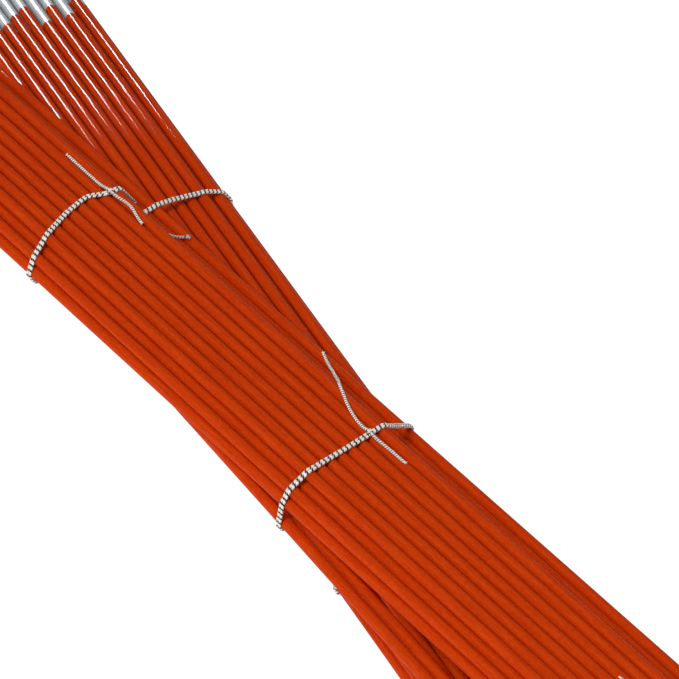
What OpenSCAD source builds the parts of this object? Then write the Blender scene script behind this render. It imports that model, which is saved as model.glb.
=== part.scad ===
/* [Marker] */
// Length of one marker, from its top end to its driving tip
marker_len = 1219; // [1100:1:1300]
// Diameter of the fibreglass rod
rod_d = 7.94; // [7.8:0.01:8]
// Length of the ground driving tip
tip_len = 14; // [8:1:20]
// Flat left at the end of the driving tip
tip_d = 2.4; // [1.5:0.1:4]
// Width of the chamfer round the top end
top_chamfer = 0.7; // [0.3:0.1:1.2]
// Length of the reflective sleeve
sleeve_len = 92; // [60:1:110]
// Wall of the reflective sleeve
sleeve_wall = 0.1; // [0.08:0.01:0.12]
// Bare rod above the reflective sleeve
sleeve_inset = 5; // [3:1:20]

/* [Bundles] */
// Half of the angle between the two bundles
half_angle = 5.3; // [5.2:0.1:5.6]
// Sideways spacing of the rods where the bundles cross
pitch = 8.62; // [8.62:0.01:8.7]
// How much wider the spacing gets, per metre toward the top ends
fan = 1.0; // [0.9:0.05:1]
// Height of one row of rods above the row it nests in
row_rise = 7.12; // [7.12:0.01:7.3]
// Height of the upper bundle's second row, which lies across the first
loose_row_rise = 8.2; // [8.15:0.05:8.5]
// How far a rod may sit from its place in the row
rod_play = 0.06; // [0:0.01:0.07]
// How far the rods' ends are staggered, either way
end_stagger = 14; // [0:1:15]

/* [Ties] */
// Diameter of the tie cord
cord_d = 2; // [1.8:0.1:2.2]
// Radius of the knot in each tie, and half of its length along the rods
knot_r = 2.6; // [2.4:0.1:3]

/* [Hidden] */
$fn = 48;
rod_r = rod_d / 2;
snug = 0.15;

// Where the bundles cross, and each bundle's top ends and base
cross_at = [122.2, -0.7];
lower_top = -762;
upper_top = -700;
lower_base = cord_d + snug;
row_count = 5;
upper_base = lower_base + (row_count - 1) * row_rise + rod_d + cord_d + 2 * snug;

// A row of the lattice: [number of rods, place of its first rod in pitches, height of its axes]
function row_z(base, k) = base + rod_r + k * row_rise;
lower_lattice = [
    [11, -5, row_z(lower_base, 0)],
    [10, -4.5, row_z(lower_base, 1)],
    [11, -5, row_z(lower_base, 2)],
    [10, -4.5, row_z(lower_base, 3)],
    [8, -4, row_z(lower_base, 4)]
];
upper_first = row_z(upper_base, 0);
upper_lattice = [
    [3, 2, upper_first],
    [11, -5, upper_first + loose_row_rise],
    [11, -5.5, upper_first + loose_row_rise + row_rise],
    [10, -5, upper_first + loose_row_rise + 2 * row_rise],
    [8, -3.5, upper_first + loose_row_rise + 3 * row_rise]
];

// A rod is [sideways place at the crossing, sideways slope, height, place of its top end]
function lattice_rod(lattice, k, i, top, seed) =
    let (
        u = lattice[k][1] + i,
        draw = rands(-1, 1, 3, seed + 40 * k + i),
        end_draw = rands(-1, 1, 1, seed + ends_seed + 40 * k + i)[0]
    ) [
        u * pitch + rod_play * draw[0],
        -u * fan / 1000 + rod_play * draw[1] / 1000,
        lattice[k][2] + rod_play * draw[2],
        top + end_stagger * end_draw
    ];
function row_rods(lattice, k, top, seed, drawn = []) = [
    for (i = [0 : lattice[k][0] - 1])
        if (len(search(i, drawn)) == 0) lattice_rod(lattice, k, i, top, seed)
];
ends_seed = 474;
lower_seed = 1000;
upper_seed = 5000;

// A tie's route: [sideways place, station along the bundle], straight between
upper_tie_1_route = [[-70, -378], [-30, -394], [-8, -404], [11, -410], [26, -403], [38, -405], [70, -423]];
upper_tie_2_route = [[-70, -96], [-28, -94.5], [20, -99], [36, -100.5], [75, -122]];
upper_tie_3_route = [[-70, 202], [8, 205], [75, 201]];
lower_tie_1_route = [[-60, -393], [-29, -402.5], [0, -412.5], [60, -425]];
lower_tie_2_route = [[-60, -50], [60, -58]];
lower_tie_3_route = [[-60, 286], [60, 274]];

// A tie's knot: [sideways place, height]
knot_lift = rod_r + snug + cord_d + 1;
upper_knot_z = upper_lattice[4][2] + knot_lift;
lower_knot_z = lower_lattice[4][2] + knot_lift;
upper_tie_1_knot = [26, upper_knot_z];
upper_tie_2_knot = [20, upper_knot_z];
upper_tie_3_knot = [8, upper_knot_z];
lower_tie_1_knot = [-30.5, 42.5];
lower_tie_2_knot = [51, row_z(lower_base, 0)];
lower_tie_3_knot = [-8, lower_knot_z];
strand_gap = 0.1;

// The loose tails of the ties, from each knot, in their bundle's own frame: [x, y, z]
upper_tie_1_tail_a_route = [
    [-405.6, 26.2, 80.9], [-411, 26.5, 79.25], [-417, 26.9, 77.45], [-427, 27.1, 77.05],
    [-442, 27.2, 77.05], [-457, 27.4, 77.05]
];
upper_tie_1_tail_b_route = [
    [-400.4, 26.2, 80.9], [-395, 27.2, 79.95], [-390, 28.6, 79.25], [-384, 28.9, 79.25],
    [-378, 28.1, 79.05], [-371, 26.3, 78.85], [-364.5, 25, 79.15]
];
upper_tie_2_tail_a_route = [
    [-101.6, 20.1, 80.9], [-107, 20.2, 79.95], [-117, 21.7, 79.55], [-129, 25.1, 79.55], [-139, 29, 79.55],
    [-148.5, 32.8, 79.3], [-158.5, 38.6, 73.6], [-169, 44.2, 66.55], [-180.5, 50.2, 60.05],
    [-191.5, 55.7, 53.45], [-199.5, 59.3, 50.45], [-207, 62.2, 49.95]
];
upper_tie_2_tail_b_route = [
    [-96.4, 20.1, 80.9], [-90, 20.5, 79.75], [-83, 21, 79.55], [-76, 21.2, 79.55], [-64, 21.4, 79.55]
];
upper_tie_3_tail_a_route = [
    [207.6, 8, 80.9], [213, 8.3, 79.85], [220, 8.6, 79.55], [232, 8.9, 79.55], [245, 8.9, 79.55]
];
upper_tie_3_tail_b_route = [
    [202.4, 8, 80.9], [197, 8.1, 79.85], [191, 8.5, 79.55], [181, 8.8, 79.55], [170, 8.9, 79.55]
];
lower_tie_1_tail_a_route = [
    [-397.9, 44.1, 42.8], [-390, 45, 42.95], [-382, 46, 43.9], [-377, 48.2, 47.2], [-373, 50.9, 49.85],
    [-367.5, 53.7, 50.05], [-362.3, 58, 50.65]
];
lower_tie_1_tail_a_end = [-360.7, 59.9, 51];
lower_tie_1_tail_b_route = [
    [-403.2, 43.9, 41.5], [-409, 44, 40.55], [-415, 44.2, 39.85], [-426, 44.6, 39.85], [-438, 44.8, 39.85]
];
lower_tie_2_tail_a_route = [
    [-54.9, 51.7, 5.3], [-49, 53, 2.9], [-43, 54, 1.3], [-33, 54.6, 1.2], [-22, 54.2, 1.2]
];
lower_tie_2_tail_b_route = [
    [-60.1, 51.9, 5.3], [-66, 53, 2.9], [-72, 53.7, 1.3], [-82, 54.2, 1.2], [-93, 55.4, 1.2]
];
lower_tie_3_tail_a_route = [
    [283.4, -8, 41.1], [289, -8.3, 40.05], [296, -8.9, 39.75], [307, -9.4, 39.75], [318, -9.6, 39.75]
];
lower_tie_3_tail_b_route = [
    [278.2, -8, 41.1], [272, -7.6, 40.05], [265, -7, 39.75], [255, -6.5, 39.75], [244, -6.3, 39.75]
];
end_knot_r = 2.1;

// Loose markers that lie outside the lattice of the upper bundle
stray_near = [54.1, 0, upper_first, upper_top + 4];
stray_far = [62.5, -0.0002, upper_first, upper_top - 7];
splayed_near = [-58.3, -0.082, upper_first, upper_top + 6];
splayed_far = [-49.6, -0.0825, upper_first, upper_top - 3];
strays = [stray_near, stray_far];
splayed = [splayed_near, splayed_far];

// Markers of the lattice that are drawn one at a time: [row, place in the row]
upper_drawn = [[4, 1], [4, 4], [4, 6]];
lower_drawn = [[4, 3], [4, 5], [4, 7], [3, 9], [2, 10]];
function drawn_in(list, k) = [for (d = list) if (d[0] == k) d[1]];
function upper_rod(n) = lattice_rod(upper_lattice, upper_drawn[n][0], upper_drawn[n][1], upper_top, upper_seed);
function lower_rod(n) = lattice_rod(lower_lattice, lower_drawn[n][0], lower_drawn[n][1], lower_top, lower_seed);
function upper_row(k) = row_rods(upper_lattice, k, upper_top, upper_seed, drawn_in(upper_drawn, k));
function lower_row(k) = row_rods(lower_lattice, k, lower_top, lower_seed, drawn_in(lower_drawn, k));

// All rods inside a tie, for its route
upper_lattice_rods = [for (k = [0 : 4]) each row_rods(upper_lattice, k, upper_top, upper_seed)];
lower_lattice_rods = [for (k = [0 : 4]) each row_rods(lower_lattice, k, lower_top, lower_seed)];

// The two bundles' own frames: x along the rods from the crossing, y across, z up
module in_upper() {
    translate([cross_at[0], cross_at[1], 0]) rotate([0, 0, half_angle]) children();
}
module in_lower() {
    translate([cross_at[0], cross_at[1], 0]) rotate([0, 0, -half_angle]) children();
}

// Puts a shape made along +z from z = 0 onto a rod's axis, from its top end to its tip
module on_rod(rod) {
    translate([rod[3], rod[0] + rod[1] * rod[3], rod[2]])
        rotate([0, 0, atan(rod[1])])
            rotate([0, 90, 0])
                children();
}

module rod_shape() {
    rotate_extrude()
        polygon([
            [0, 0], [rod_r - top_chamfer, 0], [rod_r, top_chamfer],
            [rod_r, marker_len - tip_len], [tip_d / 2, marker_len], [0, marker_len]
        ]);
}

module sleeve_shape() {
    bore = rod_r + 0.02;
    translate([0, 0, sleeve_inset])
        rotate_extrude()
            translate([bore, 0]) square([sleeve_wall, sleeve_len]);
}

module rods(list) {
    color("orangered") for (rod = list) on_rod(rod) rod_shape();
}
module sleeves(list) {
    color("silver") for (rod = list) on_rod(rod) sleeve_shape();
}

module lower_rods_row_1() { in_lower() rods(lower_row(0)); }
module lower_rods_row_2() { in_lower() rods(lower_row(1)); }
module lower_rods_row_3() { in_lower() rods(lower_row(2)); }
module lower_rods_row_4() { in_lower() rods(lower_row(3)); }
module lower_rods_row_5() { in_lower() rods(lower_row(4)); }
module lower_sleeves() { in_lower() for (k = [0 : 4]) sleeves(lower_row(k)); }

module upper_rods_row_1() { in_upper() rods(upper_row(0)); }
module upper_rods_row_2() { in_upper() rods(upper_row(1)); }
module upper_rods_row_3() { in_upper() rods(upper_row(2)); }
module upper_rods_row_4() { in_upper() rods(upper_row(3)); }
module upper_rods_row_5() { in_upper() rods(upper_row(4)); }
module upper_sleeves() { in_upper() for (k = [0 : 4]) sleeves(upper_row(k)); }

module stray_near_rod() { in_upper() rods([stray_near]); }
module stray_near_sleeve() { in_upper() sleeves([stray_near]); }
module stray_far_rod() { in_upper() rods([stray_far]); }
module stray_far_sleeve() { in_upper() sleeves([stray_far]); }
module splayed_near_rod() { in_upper() rods([splayed_near]); }
module splayed_near_sleeve() { in_upper() sleeves([splayed_near]); }
module splayed_far_rod() { in_upper() rods([splayed_far]); }
module splayed_far_sleeve() { in_upper() sleeves([splayed_far]); }

module upper_top_1_rod() { in_upper() rods([upper_rod(0)]); }
module upper_top_1_sleeve() { in_upper() sleeves([upper_rod(0)]); }
module upper_top_2_rod() { in_upper() rods([upper_rod(1)]); }
module upper_top_2_sleeve() { in_upper() sleeves([upper_rod(1)]); }
module upper_top_3_rod() { in_upper() rods([upper_rod(2)]); }
module upper_top_3_sleeve() { in_upper() sleeves([upper_rod(2)]); }

module lower_top_1_rod() { in_lower() rods([lower_rod(0)]); }
module lower_top_1_sleeve() { in_lower() sleeves([lower_rod(0)]); }
module lower_top_2_rod() { in_lower() rods([lower_rod(1)]); }
module lower_top_2_sleeve() { in_lower() sleeves([lower_rod(1)]); }
module lower_top_3_rod() { in_lower() rods([lower_rod(2)]); }
module lower_top_3_sleeve() { in_lower() sleeves([lower_rod(2)]); }
module lower_side_1_rod() { in_lower() rods([lower_rod(3)]); }
module lower_side_1_sleeve() { in_lower() sleeves([lower_rod(3)]); }
module lower_side_2_rod() { in_lower() rods([lower_rod(4)]); }
module lower_side_2_sleeve() { in_lower() sleeves([lower_rod(4)]); }

// Where rods pass through a tie that follows a route: both faces of the doubled cord
function crossing(rod, route) =
    let (near = rod[0] + rod[1] * lookup(rod[0], route))
    rod[0] + rod[1] * lookup(near, route);
function section(list, route) = [
    for (rod = list, side = [-1, 1]) [crossing(rod, route) + side * rod[1] * cord_d, rod[2]]
];

// A convex outline of points, counter-clockwise from the lowest
function turn(a, b, c) = (b[0] - a[0]) * (c[1] - a[1]) - (b[1] - a[1]) * (c[0] - a[0]);
function lowest(pts, i = 1, best = 0) =
    i == len(pts) ? best
    : lowest(pts, i + 1, pts[i][1] < pts[best][1] - 0.001 ? i : best);
function next_corner(pts, p, i = 0, best = -1) =
    i == len(pts) ? best
    : next_corner(pts, p, i + 1,
        i == p ? best
        : best < 0 ? i
        : turn(pts[p], pts[best], pts[i]) < 0 ? i
        : best);
function wrap(pts, first, p, found) =
    let (q = next_corner(pts, p))
    q == first ? concat(found, [p])
    : wrap(pts, first, q, concat(found, [p]));
function outline(pts) = let (first = lowest(pts)) [for (i = wrap(pts, first, first, [])) pts[i]];

// That outline with its corners rounded, as a cord pulled tight over the rods
function edge_angle(a, b) = atan2(b[1] - a[1], b[0] - a[0]);
function rounded(ring, r) = [
    for (i = [0 : len(ring) - 1])
        let (
            p = ring[i],
            before = ring[(i + len(ring) - 1) % len(ring)],
            after = ring[(i + 1) % len(ring)],
            from = edge_angle(before, p) - 90,
            sweep = (edge_angle(p, after) - 90 - from + 720) % 360,
            steps = max(1, ceil(sweep / 20))
        )
        for (j = [0 : steps])
            p + r * [cos(from + sweep * j / steps), sin(from + sweep * j / steps)]
];

// A doubled cord along a route round one or more outlines, with its knot at [across, height]
module tie(outlines, route, knot) {
    color("gainsboro") {
        for (i = [1 : len(route) - 1]) {
            start = route[i - 1];
            end = route[i];
            slant = (end[1] - start[1]) / (end[0] - start[0]);
            lean = [[1, slant, 0, start[1] - slant * start[0]], [0, 1, 0, 0], [0, 0, 1, 0], [0, 0, 0, 1]];
            multmatrix(lean)
                rotate([90, 0, 90])
                    for (side = [-cord_d - strand_gap / 2, strand_gap / 2])
                        translate([0, 0, side])
                            linear_extrude(cord_d)
                                intersection() {
                                    ring_band(outlines);
                                    translate([start[0], -10]) square([end[0] - start[0], 120]);
                                }
        }
        translate([lookup(knot[0], route), knot[0], knot[1]])
            rotate([0, 90, 0])
                cylinder(h = 2 * knot_r, r = knot_r, center = true, $fn = 12);
    }
}
module ring_band(outlines) {
    difference() {
        for (ring = outlines) polygon(rounded(ring, rod_r + snug + cord_d));
        for (ring = outlines) polygon(rounded(ring, rod_r + snug));
    }
}

module upper_tie(list, route, knot) {
    in_upper() tie([outline(section(list, route))], route, knot);
}
module upper_tie_1() {
    upper_tie(concat(upper_lattice_rods, splayed), upper_tie_1_route, upper_tie_1_knot);
}
module upper_tie_2() {
    upper_tie(concat(upper_lattice_rods, splayed, strays), upper_tie_2_route, upper_tie_2_knot);
}
module upper_tie_3() {
    upper_tie(concat(upper_lattice_rods, strays), upper_tie_3_route, upper_tie_3_knot);
}

// The first tie of the lower bundle also catches the two stray markers, and dips behind them
function stray_across(rod, station) =
    (rod[0] + station * sin(2 * half_angle)) / cos(2 * half_angle);
function strays_over_lower(route) = [
    for (rod = strays, side = [-1, 1])
        let (near = stray_across(rod, lookup(-16, route)))
        [stray_across(rod, lookup(near, route) + side * cord_d), rod[2]]
];
module lower_tie_1() {
    over = strays_over_lower(lower_tie_1_route);
    top = lower_lattice[4][2];
    in_lower()
        tie(
            [
                outline(section(lower_lattice_rods, lower_tie_1_route)),
                outline(concat(over, [[over[0][0] + 1, top], [25, top]]))
            ],
            lower_tie_1_route, lower_tie_1_knot);
}
module lower_tie(route, knot) {
    in_lower() tie([outline(section(lower_lattice_rods, route))], route, knot);
}
module lower_tie_2() { lower_tie(lower_tie_2_route, lower_tie_2_knot); }
module lower_tie_3() { lower_tie(lower_tie_3_route, lower_tie_3_knot); }

// A round cord swept along its route
cord_sides = 8;
function unit(v) = v / norm(v);
function cord_ring(route, i) =
    let (
        ahead = unit(route[min(i + 1, len(route) - 1)] - route[max(i - 1, 0)]),
        across = unit(cross(ahead, [0, 0, 1])),
        up = cross(across, ahead)
    ) [
        for (j = [0 : cord_sides - 1])
            route[i] + cord_d / 2 * (cos(360 * j / cord_sides) * across + sin(360 * j / cord_sides) * up)
    ];
module tail(route) {
    last = cord_sides * (len(route) - 1);
    points = [for (i = [0 : len(route) - 1]) each cord_ring(route, i)];
    sides = [
        for (i = [0 : len(route) - 2], j = [0 : cord_sides - 1])
            let (
                a = cord_sides * i + j,
                b = cord_sides * i + (j + 1) % cord_sides
            )
            each [[a, b + cord_sides, b], [a, a + cord_sides, b + cord_sides]]
    ];
    caps = [
        [for (j = [0 : cord_sides - 1]) j],
        [for (j = [cord_sides - 1 : -1 : 0]) last + j]
    ];
    color("gainsboro") polyhedron(points, concat(sides, caps));
}
module upper_tie_1_tail_a() { in_upper() tail(upper_tie_1_tail_a_route); }
module upper_tie_1_tail_b() { in_upper() tail(upper_tie_1_tail_b_route); }
module upper_tie_2_tail_a() { in_upper() tail(upper_tie_2_tail_a_route); }
module upper_tie_2_tail_b() { in_upper() tail(upper_tie_2_tail_b_route); }
module upper_tie_3_tail_a() { in_upper() tail(upper_tie_3_tail_a_route); }
module upper_tie_3_tail_b() { in_upper() tail(upper_tie_3_tail_b_route); }
module lower_tie_1_tail_a() { in_upper() tail(lower_tie_1_tail_a_route); }
module lower_tie_1_tail_b() { in_upper() tail(lower_tie_1_tail_b_route); }
module lower_tie_1_end_knot() {
    color("darkgray") in_upper() translate(lower_tie_1_tail_a_end) sphere(end_knot_r);
}
module lower_tie_2_tail_a() { in_lower() tail(lower_tie_2_tail_a_route); }
module lower_tie_2_tail_b() { in_lower() tail(lower_tie_2_tail_b_route); }
module lower_tie_3_tail_a() { in_lower() tail(lower_tie_3_tail_a_route); }
module lower_tie_3_tail_b() { in_lower() tail(lower_tie_3_tail_b_route); }

lower_rods_row_1();
lower_rods_row_2();
lower_rods_row_3();
lower_rods_row_4();
lower_rods_row_5();
lower_sleeves();
upper_rods_row_1();
upper_rods_row_2();
upper_rods_row_3();
upper_rods_row_4();
upper_rods_row_5();
upper_sleeves();
stray_near_rod();
stray_near_sleeve();
stray_far_rod();
stray_far_sleeve();
splayed_near_rod();
splayed_near_sleeve();
splayed_far_rod();
splayed_far_sleeve();
upper_top_1_rod();
upper_top_1_sleeve();
upper_top_2_rod();
upper_top_2_sleeve();
upper_top_3_rod();
upper_top_3_sleeve();
lower_top_1_rod();
lower_top_1_sleeve();
lower_top_2_rod();
lower_top_2_sleeve();
lower_top_3_rod();
lower_top_3_sleeve();
lower_side_1_rod();
lower_side_1_sleeve();
lower_side_2_rod();
lower_side_2_sleeve();
upper_tie_1();
upper_tie_2();
upper_tie_3();
lower_tie_1();
lower_tie_2();
lower_tie_3();
upper_tie_1_tail_a();
upper_tie_1_tail_b();
upper_tie_2_tail_a();
upper_tie_2_tail_b();
upper_tie_3_tail_a();
upper_tie_3_tail_b();
lower_tie_1_tail_a();
lower_tie_1_tail_b();
lower_tie_1_end_knot();
lower_tie_2_tail_a();
lower_tie_2_tail_b();
lower_tie_3_tail_a();
lower_tie_3_tail_b();
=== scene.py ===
"""Two tied bundles of driveway snow markers, one lying across the other, on a pale floor."""
import math

import bpy
import numpy as np
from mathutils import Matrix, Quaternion, Vector


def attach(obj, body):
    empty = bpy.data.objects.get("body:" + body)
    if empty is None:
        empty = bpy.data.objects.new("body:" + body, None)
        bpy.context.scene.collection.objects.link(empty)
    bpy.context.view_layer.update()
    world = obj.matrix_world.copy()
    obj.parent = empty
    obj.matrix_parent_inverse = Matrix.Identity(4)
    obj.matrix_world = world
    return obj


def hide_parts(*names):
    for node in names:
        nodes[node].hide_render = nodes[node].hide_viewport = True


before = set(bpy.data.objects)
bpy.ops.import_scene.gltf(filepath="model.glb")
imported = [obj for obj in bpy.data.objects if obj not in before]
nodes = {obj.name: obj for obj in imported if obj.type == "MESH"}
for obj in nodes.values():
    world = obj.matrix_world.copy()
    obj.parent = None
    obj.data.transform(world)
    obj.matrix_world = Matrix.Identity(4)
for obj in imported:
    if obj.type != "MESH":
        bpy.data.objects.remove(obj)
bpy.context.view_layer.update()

# The loose yarns of the frayed tips are drawn from this seed
FRAY_SEED = 7
rng = np.random.default_rng(FRAY_SEED)

MM = 0.001

# Where the bundles cross, and the angle that each is turned by:
# one way for the upper bundle, the other way for the lower one
CROSS_AT = np.array([122.2, -0.7, 0]) * MM
HALF_ANGLE = math.radians(5.3)
UPPER = 1
LOWER = -1

# The rods, the gap that a tie leaves round them, the cord, and the knots
ROD_R = 3.97 * MM
SNUG = 0.15 * MM
CORD_D = 2 * MM
CORD_R = CORD_D / 2
KNOT_R = 2.6 * MM
END_KNOT_R = 2.1 * MM

# The worn grey tail, and where the small knot at its end lies, in the frame that its route is in
GREY_TAIL = "lower_tie_1_tail_a"
END_KNOT_AT = np.array([-360.7, 59.9, 51]) * MM

# Ties, in their bundle's own frame in mm: route [sideways place, station], knot [sideways place, height]
TIES = {
    "upper_tie_1": {
        "side": UPPER,
        "around": ["upper_", "splayed_"],
        "route": [[-70, -378], [-30, -394], [-8, -404], [11, -410], [26, -403], [38, -405], [70, -423]],
        "knot": [26, 81.5],
    },
    "upper_tie_2": {
        "side": UPPER,
        "around": ["upper_", "splayed_", "stray_"],
        "route": [[-70, -96], [-28, -94.5], [20, -99], [36, -100.5], [75, -122]],
        "knot": [20, 81.5],
    },
    "upper_tie_3": {
        "side": UPPER,
        "around": ["upper_", "stray_"],
        "route": [[-70, 202], [8, 205], [75, 201]],
        "knot": [8, 81.5],
    },
    "lower_tie_1": {
        "side": LOWER,
        "around": ["lower_"],
        "route": [[-60, -393], [-29, -402.5], [0, -412.5], [60, -425]],
        "knot": [-30.5, 42.5],
    },
    "lower_tie_2": {
        "side": LOWER,
        "around": ["lower_"],
        "route": [[-60, -50], [60, -58]],
        "knot": [51, 6.1],
    },
    "lower_tie_3": {
        "side": LOWER,
        "around": ["lower_"],
        "route": [[-60, 286], [60, 274]],
        "knot": [-8, 41],
    },
}

# The ties' loose tails, from the knot: the bundle whose frame the route is in, which for both tails
# of lower_tie_1 is the upper one, and the route [station, sideways place, height] in mm
TAILS = {
    "upper_tie_1_tail_a": [UPPER, [
        [-405.6, 26.2, 80.9], [-411, 26.5, 79.25], [-417, 26.9, 77.45], [-427, 27.1, 77.05],
        [-442, 27.2, 77.05], [-457, 27.4, 77.05],
    ]],
    "upper_tie_1_tail_b": [UPPER, [
        [-400.4, 26.2, 80.9], [-395, 27.2, 79.95], [-390, 28.6, 79.25], [-384, 28.9, 79.25],
        [-378, 28.1, 79.05], [-371, 26.3, 78.85], [-364.5, 25, 79.15],
    ]],
    "upper_tie_2_tail_a": [UPPER, [
        [-101.6, 20.1, 80.9], [-107, 20.2, 79.95], [-117, 21.7, 79.55], [-129, 25.1, 79.55],
        [-139, 29, 79.55], [-148.5, 32.8, 79.3], [-158.5, 38.6, 73.6], [-169, 44.2, 66.55],
        [-180.5, 50.2, 60.05], [-191.5, 55.7, 53.45], [-199.5, 59.3, 50.45], [-207, 62.2, 49.95],
    ]],
    "upper_tie_2_tail_b": [UPPER, [
        [-96.4, 20.1, 80.9], [-90, 20.5, 79.75], [-83, 21, 79.55], [-76, 21.2, 79.55], [-64, 21.4, 79.55],
    ]],
    "upper_tie_3_tail_a": [UPPER, [
        [207.6, 8, 80.9], [213, 8.3, 79.85], [220, 8.6, 79.55], [232, 8.9, 79.55], [245, 8.9, 79.55],
    ]],
    "upper_tie_3_tail_b": [UPPER, [
        [202.4, 8, 80.9], [197, 8.1, 79.85], [191, 8.5, 79.55], [181, 8.8, 79.55], [170, 8.9, 79.55],
    ]],
    "lower_tie_1_tail_a": [UPPER, [
        [-397.9, 44.1, 42.8], [-390, 45, 42.95], [-382, 46, 43.9], [-377, 48.2, 47.2],
        [-373, 50.9, 49.85], [-367.5, 53.7, 50.05], [-362.3, 58, 50.65],
    ]],
    "lower_tie_1_tail_b": [UPPER, [
        [-403.2, 43.9, 41.5], [-409, 44, 40.55], [-415, 44.2, 39.85], [-426, 44.6, 39.85],
        [-438, 44.8, 39.85],
    ]],
    "lower_tie_2_tail_a": [LOWER, [
        [-54.9, 51.7, 5.3], [-49, 53, 2.9], [-43, 54, 1.3], [-33, 54.6, 1.2], [-22, 54.2, 1.2],
    ]],
    "lower_tie_2_tail_b": [LOWER, [
        [-60.1, 51.9, 5.3], [-66, 53, 2.9], [-72, 53.7, 1.3], [-82, 54.2, 1.2], [-93, 55.4, 1.2],
    ]],
    "lower_tie_3_tail_a": [LOWER, [
        [283.4, -8, 41.1], [289, -8.3, 40.05], [296, -8.9, 39.75], [307, -9.4, 39.75],
        [318, -9.6, 39.75],
    ]],
    "lower_tie_3_tail_b": [LOWER, [
        [278.2, -8, 41.1], [272, -7.6, 40.05], [265, -7, 39.75], [255, -6.5, 39.75],
        [244, -6.3, 39.75],
    ]],
}


# Places and lines ---------------------------------------------------------------------------

def turned(points, angle):
    """Points turned about the vertical."""
    c = math.cos(angle)
    s = math.sin(angle)
    x, y, z = np.moveaxis(np.asarray(points, float), -1, 0)
    return np.stack([x * c - y * s, x * s + y * c, z], axis=-1)


def to_world(points, side):
    """Points of a bundle's own frame, in the frame that all the pieces share."""
    return turned(points, side * HALF_ANGLE) + CROSS_AT


def to_bundle(points, side):
    """Points of the shared frame, in a bundle's own frame."""
    return turned(np.asarray(points, float) - CROSS_AT, -side * HALF_ANGLE)


def spaced(line, step):
    """A line again, with points about step apart."""
    along = np.concatenate([[0], np.cumsum(np.linalg.norm(np.diff(line, axis=0), axis=1))])
    at = np.linspace(0, along[-1], max(2, round(along[-1] / step) + 1))
    return np.stack([np.interp(at, along, line[:, k]) for k in range(3)], axis=1)


def smoothed(line, window):
    """A line with its corners eased over a number of points, and its ends kept."""
    kernel = np.hanning(window + 2)[1:-1]
    kernel /= kernel.sum()
    padded = np.concatenate([
        2 * line[0] - line[window:0:-1],
        line,
        2 * line[-1] - line[-2:-window - 2:-1],
    ])
    eased = np.stack([np.convolve(padded[:, k], kernel, "same") for k in range(3)], axis=1)
    return eased[window:-window]


def frames_along(line):
    """Two directions square to a line at each of its points, turning as little as they can."""
    ahead = np.gradient(line, axis=0)
    ahead /= np.linalg.norm(ahead, axis=1)[:, None]
    across = np.cross(ahead[0], [0, 0, 1])
    sides = []
    for direction in ahead:
        across = across - direction * (across @ direction)
        across = across / np.linalg.norm(across)
        sides.append(across)
    sides = np.array(sides)
    return sides, np.cross(sides, ahead)


# Meshes -------------------------------------------------------------------------------------

def make_mesh(name, points, faces, material, tone=None):
    """A smooth-shaded object from points and faces, with a tone for each point where it has one."""
    mesh = bpy.data.meshes.new(name)
    mesh.from_pydata([tuple(p) for p in points], [], faces)
    mesh.polygons.foreach_set("use_smooth", [True] * len(mesh.polygons))
    if tone is not None:
        attribute = mesh.attributes.new("tone", "FLOAT", "POINT")
        attribute.data.foreach_set("value", np.asarray(tone, np.float32).ravel())
    mesh.materials.append(material)
    mesh.update()
    piece = bpy.data.objects.new(name, mesh)
    bpy.context.scene.collection.objects.link(piece)
    return piece


def tube_faces(rings, sides):
    """The faces of a tube of rings of points, and of its two ends."""
    faces = []
    for i in range(rings - 1):
        for j in range(sides):
            a = i * sides + j
            b = i * sides + (j + 1) % sides
            faces.append((a, b, b + sides, a + sides))
    faces.append(tuple(range(sides - 1, -1, -1)))
    faces.append(tuple((rings - 1) * sides + j for j in range(sides)))
    return faces


# A braid's mesh, and its carriers: their number each way round, and the length of one crossing
BRAID_SIDES = 20
BRAID_STEP = 0.3 * MM
BRAID_CARRIERS = 4
BRAID_CELL = 1.7 * MM

# A carrier's crown: the share of it across the carrier and along it, and its top against the cord's radius
CROWN_ACROSS = 0.7
CROWN_ALONG = 0.3
CROWN_TOP = 1.08

# The dark yarns' edges, the brown yarns' tone, width, start and edges, and the painted shade that darkens the
# hollows between carriers
DARK_EDGE = 12
BROWN_TONE = 0.5
BROWN_WIDTH = 0.6
BROWN_START = 0.3
BROWN_EDGE = 14
HOLLOW_SHADE_TONE = 0.6
HOLLOW_SHADE_EDGE = 4

# How deep the crowns are, the length in which the coloured yarns go once round, and the dark yarns' width
TIE_BRAID = {"relief": 0.2, "lay": 3.7 * MM, "dark": 0.2}
TAIL_BRAID = {"relief": 0.26, "lay": 2 * MM, "dark": 0.17}
KNOT_BRAID = {"relief": 0.24, "lay": 2 * MM, "dark": 0.17}


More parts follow.
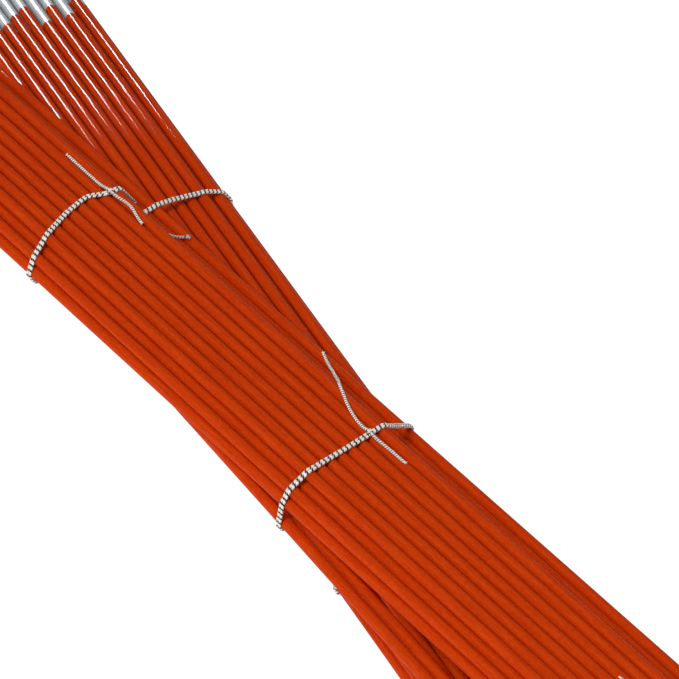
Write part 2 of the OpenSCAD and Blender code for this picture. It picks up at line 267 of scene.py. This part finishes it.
def braid_shape(line, radius, relief, lay, dark):
    """A round braid along a line: its evened line, its points, its faces and the tone of each point, from its
    yarn and from painted shade in the hollows between carriers.
    """
    line = spaced(line, BRAID_STEP)
    along = np.arange(len(line)) * np.linalg.norm(line[1] - line[0])
    across, up = frames_along(line)
    turn = np.arange(BRAID_SIDES) / BRAID_SIDES
    u = BRAID_CARRIERS * turn[None, :] - (along / BRAID_CELL)[:, None]
    v = BRAID_CARRIERS * turn[None, :] + (along / BRAID_CELL)[:, None]
    over = (np.floor(u) + np.floor(v)) % 2 < 1
    width = np.where(over, u % 1, v % 1)
    length = np.where(over, v % 1, u % 1)
    height = CROWN_ACROSS * np.sqrt(np.sin(math.pi * width)) + CROWN_ALONG * np.sin(math.pi * length)
    reach = radius * (CROWN_TOP - relief + relief * height)
    angle = 2 * math.pi * turn
    points = line[:, None, :] + reach[:, :, None] * (
        np.cos(angle)[None, :, None] * across[:, None, :]
        + np.sin(angle)[None, :, None] * up[:, None, :]
    )
    wound = (turn[None, :] - (along / lay)[:, None]) % 1
    other = (turn[None, :] + (along / lay)[:, None] + BROWN_START) % 1
    black = np.clip((dark - np.abs(wound - 0.5)) * DARK_EDGE, 0, 1)
    brown = BROWN_TONE * np.clip((BROWN_WIDTH * dark - np.abs(other - 0.5)) * BROWN_EDGE, 0, 1)
    # Painted shade: the tone is darkened in the hollows between the carriers' crowns, where shade would fall
    painted_hollow_shade = HOLLOW_SHADE_TONE * np.clip(1 - HOLLOW_SHADE_EDGE * height, 0, 1)
    tone = np.maximum(np.maximum(black, brown), painted_hollow_shade)
    return line, points.reshape(-1, 3), tube_faces(len(line), BRAID_SIDES), tone


# Materials ----------------------------------------------------------------------------------

# The rods' streaks and finer grain: how many to the metre along and across, and their shares of the colour
STREAKS_TO_METRE = (25, 900, 900)
GRAIN_TO_METRE = (260, 700, 700)
STREAK_SHARE = 0.6
GRAIN_SHARE = 0.4

# The reflective film's cells and the cord's fibres, to the metre
CELLS_TO_METRE = 1100
FIBRES_TO_METRE = 2500


def new_material(name):
    """A new material, and its tree's nodes and links."""
    material = bpy.data.materials.new(name)
    material.use_nodes = True
    return material, material.node_tree.nodes, material.node_tree.links


def ramp(tree_nodes, stops):
    """A colour ramp with a colour at each of its stops."""
    node = tree_nodes.new("ShaderNodeValToRGB")
    while len(node.color_ramp.elements) < len(stops):
        node.color_ramp.elements.new(0.5)
    for element, (place, color) in zip(node.color_ramp.elements, stops):
        element.position = place
        element.color = (*color, 1)
    return node


def add_relief(tree_nodes, links, shader, height, strength, distance):
    """A fine relief on a shader, from a node's output."""
    bump = tree_nodes.new("ShaderNodeBump")
    bump.inputs["Strength"].default_value = strength
    bump.inputs["Distance"].default_value = distance
    links.new(height, bump.inputs["Height"])
    links.new(bump.outputs["Normal"], shader.inputs["Normal"])


def along_rods(tree_nodes, links, side, scale):
    """Object coordinates turned so that x runs along a bundle's rods, and stretched."""
    coords = tree_nodes.new("ShaderNodeTexCoord")
    mapping = tree_nodes.new("ShaderNodeMapping")
    mapping.vector_type = "TEXTURE"
    mapping.inputs["Rotation"].default_value = (0, 0, side * HALF_ANGLE)
    mapping.inputs["Scale"].default_value = tuple(1 / s for s in scale)
    links.new(coords.outputs["Object"], mapping.inputs["Vector"])
    return mapping


def rod_noise(tree_nodes, links, side, scale, detail):
    """Noise drawn out along a bundle's rods."""
    noise = tree_nodes.new("ShaderNodeTexNoise")
    noise.inputs["Scale"].default_value = 1
    noise.inputs["Detail"].default_value = detail
    links.new(along_rods(tree_nodes, links, side, scale).outputs[0], noise.inputs["Vector"])
    return noise


def fibreglass(side):
    """Glass-fibre rod: orange-red under a thin clear coat, with fine streaks along its fibres."""
    name = "fibreglass_upper" if side == UPPER else "fibreglass_lower"
    material, tree_nodes, links = new_material(name)
    shader = tree_nodes["Principled BSDF"]
    shader.inputs["Roughness"].default_value = 0.5
    shader.inputs["IOR"].default_value = 1
    shader.inputs["Specular IOR Level"].default_value = 0
    shader.inputs["Coat Weight"].default_value = 0.12
    shader.inputs["Coat Roughness"].default_value = 0.015
    streaks = rod_noise(tree_nodes, links, side, STREAKS_TO_METRE, 4)
    grain = rod_noise(tree_nodes, links, side, GRAIN_TO_METRE, 3)
    mix = tree_nodes.new("ShaderNodeMath")
    mix.operation = "MULTIPLY_ADD"
    mix.inputs[1].default_value = STREAK_SHARE
    links.new(streaks.outputs["Fac"], mix.inputs[0])
    grain_part = tree_nodes.new("ShaderNodeMath")
    grain_part.operation = "MULTIPLY"
    grain_part.inputs[1].default_value = GRAIN_SHARE
    links.new(grain.outputs["Fac"], grain_part.inputs[0])
    links.new(grain_part.outputs[0], mix.inputs[2])
    colors = ramp(tree_nodes, [
        (0.3, (0.50, 0.030, 0.001)),
        (0.5, (0.61, 0.046, 0.002)),
        (0.7, (0.70, 0.068, 0.004)),
    ])
    links.new(mix.outputs[0], colors.inputs["Fac"])
    links.new(colors.outputs["Color"], shader.inputs["Base Color"])
    add_relief(tree_nodes, links, shader, mix.outputs[0], strength=0.12, distance=0.0002)
    return material


def reflective_sleeve():
    """Silver reflective film: fine cells under a clear face."""
    material, tree_nodes, links = new_material("reflective_sleeve")
    shader = tree_nodes["Principled BSDF"]
    shader.inputs["Metallic"].default_value = 0.25
    shader.inputs["Specular IOR Level"].default_value = 0.05
    shader.inputs["Coat Weight"].default_value = 0.3
    shader.inputs["Coat Roughness"].default_value = 0.06
    coords = tree_nodes.new("ShaderNodeTexCoord")
    cells = tree_nodes.new("ShaderNodeTexVoronoi")
    cells.inputs["Scale"].default_value = CELLS_TO_METRE
    links.new(coords.outputs["Object"], cells.inputs["Vector"])
    colors = ramp(tree_nodes, [(0.0, (0.62, 0.64, 0.66)), (1.0, (0.3, 0.31, 0.34))])
    links.new(cells.outputs["Distance"], colors.inputs["Fac"])
    links.new(colors.outputs["Color"], shader.inputs["Base Color"])
    rough = tree_nodes.new("ShaderNodeMapRange")
    rough.inputs["To Min"].default_value = 0.5
    rough.inputs["To Max"].default_value = 0.7
    links.new(cells.outputs["Distance"], rough.inputs["Value"])
    links.new(rough.outputs[0], shader.inputs["Roughness"])
    add_relief(tree_nodes, links, shader, cells.outputs["Distance"], strength=0.25, distance=0.0001)
    return material


def cord_material(name, pale, brown, dark):
    """Braided yarn: pale carriers with brown and black ones among them, and painted shade in the hollows
    between carriers, all drawn from each point's tone.
    """
    material, tree_nodes, links = new_material(name)
    shader = tree_nodes["Principled BSDF"]
    shader.inputs["Roughness"].default_value = 0.75
    shader.inputs["Sheen Weight"].default_value = 0.3
    attribute = tree_nodes.new("ShaderNodeAttribute")
    attribute.attribute_name = "tone"
    colors = ramp(tree_nodes, [(0.15, pale), (0.5, brown), (0.85, dark)])
    links.new(attribute.outputs["Fac"], colors.inputs["Fac"])
    links.new(colors.outputs["Color"], shader.inputs["Base Color"])
    coords = tree_nodes.new("ShaderNodeTexCoord")
    fibres = tree_nodes.new("ShaderNodeTexNoise")
    fibres.inputs["Scale"].default_value = FIBRES_TO_METRE
    links.new(coords.outputs["Object"], fibres.inputs["Vector"])
    add_relief(tree_nodes, links, shader, fibres.outputs["Fac"], strength=0.4, distance=0.0001)
    return material


# Camera -------------------------------------------------------------------------------------

CAMERA_AT = Vector((1.8577, -1.0894, 2.0174))
CAMERA_AIM = Vector((-0.0879, 0.0535, 0.0589))
CAMERA_ROLL = math.radians(-1.13)
CAMERA_LENS = 238.6
CAMERA_SENSOR = 36


def make_camera():
    """The camera, turned to its aim and rolled about its line of sight."""
    data = bpy.data.cameras.new("camera")
    data.sensor_width = CAMERA_SENSOR
    data.lens = CAMERA_LENS
    data.clip_start = 0.1
    data.clip_end = 20
    camera = bpy.data.objects.new("camera", data)
    bpy.context.scene.collection.objects.link(camera)
    camera.location = CAMERA_AT
    camera.rotation_mode = "QUATERNION"
    look = (CAMERA_AIM - CAMERA_AT).to_track_quat("-Z", "Y")
    camera.rotation_quaternion = look @ Quaternion((0, 0, 1), CAMERA_ROLL)
    bpy.context.scene.camera = camera


# Cords --------------------------------------------------------------------------------------

# Points between two of a route's own
CURVE_POINTS = 12

# A frayed tip: its yarns, how far they lean apart, how far back and aside they start, how far they run
# straight and where they turn, how far they reach out, and their sides and radii along the way
FRAY_YARNS = 16
FRAY_SPREAD = 0.35
FRAY_BACK = 1.2 * MM
FRAY_ASIDE = 0.35 * MM
FRAY_STRAIGHT = 1.6 * MM
FRAY_TURN = 1.2 * MM
FRAY_OUT = 2.2 * MM
FRAY_SIDES = 5
FRAY_RADII = (0.24 * MM, 0.22 * MM, 0.1 * MM)

# A knot's cord against its size, its points, how far it weaves up and down, and how wide its curve runs
KNOT_CORD = 0.36
KNOT_POINTS = 160
KNOT_WEAVE = 1.1
KNOT_SPAN = 3


def curve_through(points, step):
    """A smooth line through given points."""
    points = np.asarray(points, float)
    padded = np.concatenate([[2 * points[0] - points[1]], points, [2 * points[-1] - points[-2]]])
    line = []
    for a, b, c, d in zip(padded, padded[1:], padded[2:], padded[3:]):
        for t in np.linspace(0, 1, CURVE_POINTS, endpoint=False):
            line.append(0.5 * (
                2 * b + (c - a) * t + (2 * a - 5 * b + 4 * c - d) * t * t
                + (3 * b - a - 3 * c + d) * t ** 3
            ))
    line.append(points[-1])
    return spaced(np.array(line), step)


def frayed_tip(name, point, ahead, material):
    """A brush of loose yarn ends."""
    points = []
    faces = []
    for _ in range(FRAY_YARNS):
        lean = ahead + FRAY_SPREAD * rng.normal(size=3)
        lean[2] = abs(lean[2])
        lean /= np.linalg.norm(lean)
        start = point - FRAY_BACK * ahead + FRAY_ASIDE * rng.uniform(-1, 1, 3)
        straight = start + FRAY_STRAIGHT * ahead
        out = start + FRAY_TURN * ahead + FRAY_OUT * lean
        line = np.array([start, straight, out])
        across, up = frames_along(line)
        base = len(points)
        for i, thick in enumerate(FRAY_RADII):
            for j in range(FRAY_SIDES):
                angle = 2 * math.pi * j / FRAY_SIDES
                points.append(line[i] + thick * (math.cos(angle) * across[i] + math.sin(angle) * up[i]))
        tube = tube_faces(len(FRAY_RADII), FRAY_SIDES)
        faces += [tuple(base + k for k in face) for face in tube]
    return make_mesh(name, points, faces, material, [0.0] * len(points))


def make_tail(name, side, route, braid, worn):
    """A loose tail, with a frayed tip, or with a small knot if it is the grey one."""
    line = to_world(curve_through(np.array(route) * MM, BRAID_STEP), side)
    grey = name == GREY_TAIL
    line, points, faces, tone = braid_shape(line, CORD_R, **TAIL_BRAID)
    tail = make_mesh(name + "_braid", points, faces, worn if grey else braid, tone)
    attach(tail, "pack")
    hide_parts(name)
    ahead = (line[-1] - line[-4]) / np.linalg.norm(line[-1] - line[-4])
    if grey:
        end = make_knot("lower_tie_1_end_knot_braid", to_world(END_KNOT_AT, side), END_KNOT_R, worn)
        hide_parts("lower_tie_1_end_knot")
    else:
        end = frayed_tip(name + "_tip", line[-1], ahead, braid)
    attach(end, "pack")


def make_knot(name, centre, size, material):
    """An overhand knot pulled tight."""
    t = np.linspace(0, 2 * math.pi, KNOT_POINTS)
    line = np.stack([
        np.sin(t) + 2 * np.sin(2 * t),
        np.cos(t) - 2 * np.cos(2 * t),
        -KNOT_WEAVE * np.sin(3 * t),
    ], axis=1)
    thick = KNOT_CORD * size
    line = line * (size - thick) / KNOT_SPAN
    _, points, faces, tone = braid_shape(centre + line, thick, **KNOT_BRAID)
    return make_mesh(name, points, faces, material, tone)


# Rods' own lines, from the CAD ---------------------------------------------------------------

# A node's loose part is a rod if it is longer than this, and its end is the points this near the extreme
ROD_OVER = 1
END_DEPTH = 1.5 * MM

# Rounds of finding the station at which a rod meets a slanting tie
MEETING_ROUNDS = 3

# Directions in which an outline is measured, and how many of them make a degree
DIRECTIONS = 720
TO_DEGREE = DIRECTIONS / 360

# Points round each of an outline's corners, the least divisor, and the slack at an edge's ends
CORNER_POINTS = 13
LEAST = 1e-12
EDGE_SLACK = 1e-6

# Sideways place of the point that the ties' outlines are measured from
TIE_CENTRE = -5 * MM

# lower_tie_1 also goes over the strays: its outline there stands on the lower rods' top from this far
# inside the strays' near side, out to this place
OVER_STRAYS_FROM = 1 * MM
OVER_STRAYS_TO = 25 * MM

# A tie's line: its step, and how many points its station and its outline are eased over
TIE_STEP = 1 * MM
STATION_EASE = 15
OUTLINE_EASE = 5

# A tie's two strands: their distance from its line, and how they sway along it
SWAY = 0.25 * MM
STRANDS = (
    {"offset": -1.05 * MM, "sway_points": 9, "sway_start": 0},
    {"offset": 1.05 * MM, "sway_points": 13, "sway_start": 2},
)


def rod_axes(node):
    """The middles of the two ends of each rod in a CAD node."""
    mesh = nodes[node].data
    points = np.array([v.co for v in mesh.vertices])
    group = np.arange(len(points))
    edges = np.array([e.vertices for e in mesh.edges])
    while True:
        least = np.minimum(group[edges[:, 0]], group[edges[:, 1]])
        new = group.copy()
        np.minimum.at(new, edges[:, 0], least)
        np.minimum.at(new, edges[:, 1], least)
        if (new == group).all():
            break
        group = new
    axes = []
    for label in np.unique(group):
        rod = points[group == label]
        if np.ptp(rod[:, 0]) > ROD_OVER:
            ends = []
            for end in (rod[:, 0].min(), rod[:, 0].max()):
                rim = rod[np.abs(rod[:, 0] - end) < END_DEPTH]
                ends.append((rim.min(0) + rim.max(0)) / 2)
            axes.append(ends)
    return axes


rods = {n: rod_axes(n) for n in nodes if "rod" in n}


def crossing_points(names, side, route):
    """Where rods pass through a tie: [sideways place, height], for both faces of the doubled cord."""
    found = []
    for node, axes in rods.items():
        if not any(node.startswith(n) for n in names):
            continue
        for ends in axes:
            a, b = to_bundle(ends, side)
            slope = (b - a) / (b[0] - a[0])
            place = a
            for _ in range(MEETING_ROUNDS):
                station = np.interp(place[1], route[:, 0], route[:, 1])
                place = a + slope * (station - a[0])
            for half in (-CORD_D, CORD_D):
                found.append(place[1:] + slope[1:] * half)
    return np.array(found)


def hull(points):
    """The convex outline of points, counter-clockwise."""
    points = sorted(map(tuple, points))

    def half(points):
        chain = []
        for p in points:
            while len(chain) > 1 and (
                (chain[-1][0] - chain[-2][0]) * (p[1] - chain[-2][1])
                - (chain[-1][1] - chain[-2][1]) * (p[0] - chain[-2][0])
            ) <= 0:
                chain.pop()
            chain.append(p)
        return chain[:-1]

    return np.array(half(points) + half(points[::-1]))


def polar(outline, reach, centre):
    """How far from a centre an outline widened by reach is, in each direction; 0 where it isn't met."""
    around = []
    for k, p in enumerate(outline):
        before = p - outline[k - 1]
        after = outline[(k + 1) % len(outline)] - p
        start = math.atan2(before[1], before[0]) - math.pi / 2
        sweep = (math.atan2(after[1], after[0]) - math.pi / 2 - start) % (2 * math.pi)
        for angle in start + sweep * np.linspace(0, 1, CORNER_POINTS):
            around.append(p + reach * np.array([math.cos(angle), math.sin(angle)]) - centre)
    a = np.array(around)
    edge = np.roll(a, -1, axis=0) - a
    at = np.linspace(-math.pi, math.pi, DIRECTIONS + 1)[:-1, None]
    ahead_x = np.cos(at)
    ahead_y = np.sin(at)
    across = ahead_x * edge[:, 1] - ahead_y * edge[:, 0]
    across = np.where(np.abs(across) < LEAST, LEAST, across)
    reached = (a[:, 0] * edge[:, 1] - a[:, 1] * edge[:, 0]) / across
    share = (a[:, 0] * ahead_y - a[:, 1] * ahead_x) / across
    met = (share >= -EDGE_SLACK) & (share <= 1 + EDGE_SLACK) & (reached > 0)
    return np.where(met, reached, 0).max(axis=1)


def tie_line(name):
    """The middle line of a doubled cord round its rods, from its knot right round to it again."""
    tie = TIES[name]
    route = np.array(tie["route"]) * MM
    section = crossing_points(tie["around"], tie["side"], route)
    outlines = [hull(section)]
    if name == "lower_tie_1":
        over = crossing_points(["stray_"], tie["side"], route)
        top = section[:, 1].max()
        foot = [[over[:, 0].min() + OVER_STRAYS_FROM, top], [OVER_STRAYS_TO, top]]
        outlines.append(hull(np.concatenate([over, foot])))
    centre = np.array([TIE_CENTRE, section[:, 1].mean()])
    reach = ROD_R + SNUG + CORD_R
    far = np.max([polar(o, reach, centre) for o in outlines], axis=0)
    knot = np.array(tie["knot"]) * MM - centre
    start = round(math.degrees(math.atan2(knot[1], knot[0])) * TO_DEGREE)
    steps = np.arange(DIRECTIONS + 1) + start
    at = np.radians(steps / TO_DEGREE)
    ahead = np.stack([np.cos(at), np.sin(at)], axis=1)
    ring = centre + far[(steps + DIRECTIONS // 2) % DIRECTIONS][:, None] * ahead
    station = np.interp(ring[:, 0], route[:, 0], route[:, 1])
    line = np.stack([station, ring[:, 0], ring[:, 1]], axis=1)
    line = spaced(line, TIE_STEP)
    return np.column_stack([smoothed(line, STATION_EASE)[:, 0], smoothed(line, OUTLINE_EASE)[:, 1:]])


def make_tie(name, braid):
    """A tie: the two strands of its doubled cord, and its knot."""
    tie = TIES[name]
    line = tie_line(name)
    pieces = []
    for k, lie in enumerate(STRANDS):
        strand = line + [lie["offset"], 0, 0]
        sway = SWAY * np.sin(np.arange(len(line)) / lie["sway_points"] + lie["sway_start"])
        strand[:, 0] += sway
        _, points, faces, tone = braid_shape(to_world(strand, tie["side"]), CORD_R, **TIE_BRAID)
        pieces.append(make_mesh(f"{name}_strand_{k + 1}", points, faces, braid, tone))
    route = np.array(tie["route"])
    across, height = tie["knot"]
    station = np.interp(across, route[:, 0], route[:, 1])
    centre = to_world(np.array([station, across, height]) * MM, tie["side"])
    pieces.append(make_knot(name + "_knot", centre, KNOT_R, braid))
    for piece in pieces:
        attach(piece, "pack")
        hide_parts(name)


# Floor and light ----------------------------------------------------------------------------

# The floor gives off nearly all of its white itself, so shadows on it are faint
FLOOR_HALF = 6
FLOOR_COLOR = (0.25, 0.25, 0.25, 1)
FLOOR_GLOW = 0.95

# The light from all round, and the key light: its place, aim, size and power
WORLD_STRENGTH = 0.3
KEY_AT = (0.5, -1.4, 2.4)
KEY_AIM = (-0.1, 0, 0)
KEY_SIZE = (1.0, 1.0)
KEY_POWER = 44

# The strip light, past the top ends, likewise
STRIP_AT = (-1.8, 0.1, 1.16)
STRIP_AIM = (-0.75, 0.06, 0)
STRIP_SIZE = (0.6, 0.22)
STRIP_POWER = 60

WHITE = (1, 1, 1, 1)


def make_floor():
    """A matt white floor, which isn't part of the object."""
    material, tree_nodes, links = new_material("floor")
    shader = tree_nodes["Principled BSDF"]
    shader.inputs["Base Color"].default_value = FLOOR_COLOR
    shader.inputs["Roughness"].default_value = 1
    shader.inputs["Specular IOR Level"].default_value = 0
    shader.inputs["Emission Color"].default_value = WHITE
    shader.inputs["Emission Strength"].default_value = FLOOR_GLOW
    corners = [
        (-FLOOR_HALF, -FLOOR_HALF, 0),
        (FLOOR_HALF, -FLOOR_HALF, 0),
        (FLOOR_HALF, FLOOR_HALF, 0),
        (-FLOOR_HALF, FLOOR_HALF, 0),
    ]
    floor = make_mesh("floor", corners, [(0, 1, 2, 3)], material)


def area_light(name, place, aim, size, power):
    """A rectangular light at a place, turned to its aim."""
    data = bpy.data.lights.new(name, "AREA")
    data.shape = "RECTANGLE"
    data.size, data.size_y = size
    data.energy = power
    light = bpy.data.objects.new(name, data)
    bpy.context.scene.collection.objects.link(light)
    light.location = place
    light.rotation_mode = "QUATERNION"
    light.rotation_quaternion = (Vector(aim) - Vector(place)).to_track_quat("-Z", "Y")
    return light


def make_light():
    """Even light from all round, a key light kept out of reflections, and a strip light seen only in them."""
    world = bpy.data.worlds.new("studio")
    world.use_nodes = True
    background = world.node_tree.nodes["Background"]
    background.inputs["Color"].default_value = WHITE
    background.inputs["Strength"].default_value = WORLD_STRENGTH
    bpy.context.scene.world = world
    key = area_light("key", KEY_AT, KEY_AIM, KEY_SIZE, KEY_POWER)
    key.visible_glossy = False
    strip = area_light("strip", STRIP_AT, STRIP_AIM, STRIP_SIZE, STRIP_POWER)
    strip.visible_diffuse = False


# The whole ----------------------------------------------------------------------------------

# Each cord's pale, brown and dark yarn
TIE_YARNS = ((0.95, 0.92, 0.85), (0.26, 0.08, 0.035), (0.01, 0.009, 0.01))
WORN_YARNS = ((0.62, 0.5, 0.5), (0.25, 0.14, 0.13), (0.05, 0.045, 0.05))

make_camera()
braid_material = cord_material("tie_cord", *TIE_YARNS)
worn_material = cord_material("worn_cord", *WORN_YARNS)
for tail_name, (tail_side, tail_route) in TAILS.items():
    make_tail(tail_name, tail_side, tail_route, braid_material, worn_material)
for tie_name in TIES:
    make_tie(tie_name, braid_material)

rod_materials = {UPPER: fibreglass(UPPER), LOWER: fibreglass(LOWER)}
sleeve_material = reflective_sleeve()
for node_name, node in nodes.items():
    if "sleeve" in node_name:
        node.data.materials.clear()
        node.data.materials.append(sleeve_material)
    elif "rod" in node_name:
        node.data.materials.clear()
        node.data.materials.append(rod_materials[LOWER if node_name.startswith("lower") else UPPER])

make_floor()
make_light()
bpy.context.scene.view_settings.view_transform = "Standard"
